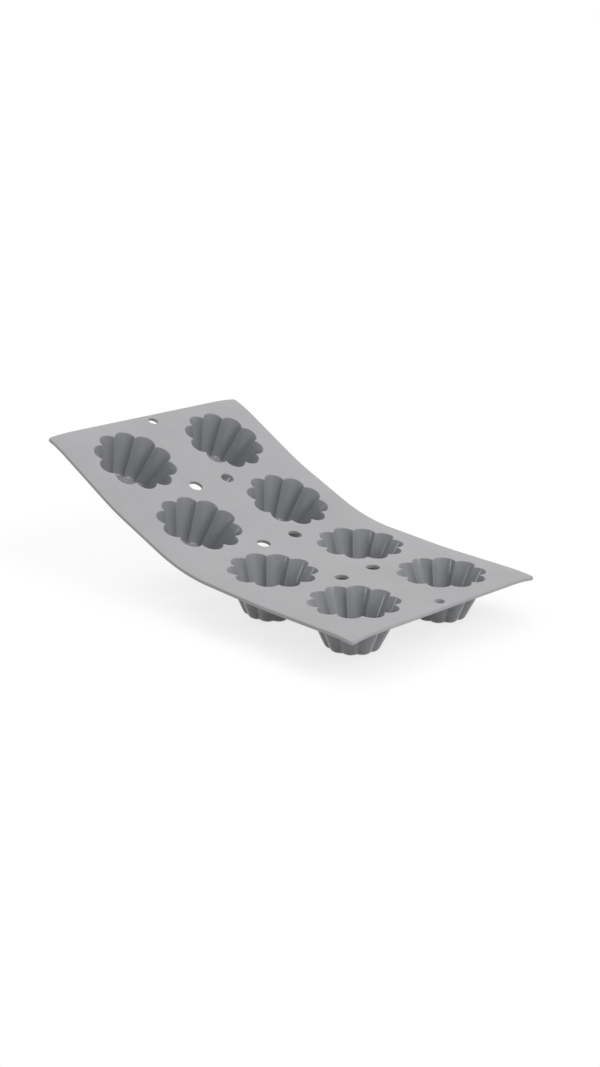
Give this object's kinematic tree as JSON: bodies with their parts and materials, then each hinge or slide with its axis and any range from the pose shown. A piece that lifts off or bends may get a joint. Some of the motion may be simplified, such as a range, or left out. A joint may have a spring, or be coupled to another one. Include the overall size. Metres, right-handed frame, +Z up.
{
  "type": "silicone baking mould",
  "caption": "Flexible grey silicone baking mould: a thin bending sheet with fluted brioche cups hanging below it, vents between the cups and a hanging hole at each end.",
  "frame": {"origin": "bottom centre of the bounding box at rest, on the surface that the level cups stand on", "axes": "+X along the sheet from the lifted end to the level end, +Y across the sheet from the front row to the back row, +Z up"},
  "size_m": [0.2892, 0.176, 0.094],
  "materials": {
    "silicone_deck": "moulded silicone, fine matt",
    "silicone_cup": "moulded silicone, satin on the cups' inner walls"
  },
  "bodies": {
    "panel_3": {"deck_panel_3": "silicone_deck", "cup_front_3": "silicone_cup", "cup_back_3": "silicone_cup"},
    "panel_2": {"deck_panel_2": "silicone_deck", "web_2": "silicone_deck", "cup_front_2": "silicone_cup", "cup_back_2": "silicone_cup"},
    "panel_1": {"deck_panel_1": "silicone_deck", "web_1": "silicone_deck", "cup_front_1": "silicone_cup", "cup_back_1": "silicone_cup"},
    "panel_4": {"deck_panel_4": "silicone_deck", "web_3": "silicone_deck", "cup_front_4": "silicone_cup", "cup_back_4": "silicone_cup"}
  },
  "joints": [
    {"name": "bend_2", "type": "hinge", "parent": "panel_3", "child": "panel_2", "pos_m": [-0.00539, 0, 0.03397], "axis": [0, 1, 0], "range_deg": [-64, 61], "stiffness_Nm_per_rad": 0.06, "springref_deg": -19, "deforming": ["web_2"]},
    {"name": "bend_1", "type": "hinge", "parent": "panel_2", "child": "panel_1", "pos_m": [-0.07361, 0, 0.05903], "axis": [0, 1, 0], "range_deg": [-51, 74], "stiffness_Nm_per_rad": 0.06, "springref_deg": -6, "deforming": ["web_1"]},
    {"name": "bend_3", "type": "hinge", "parent": "panel_3", "child": "panel_4", "pos_m": [0.0671, 0, 0.02893], "axis": [0, -1, 0], "range_deg": [-47.5, 77.5], "stiffness_Nm_per_rad": 0.06, "springref_deg": -2.5, "deforming": ["web_3"]}
  ]
}
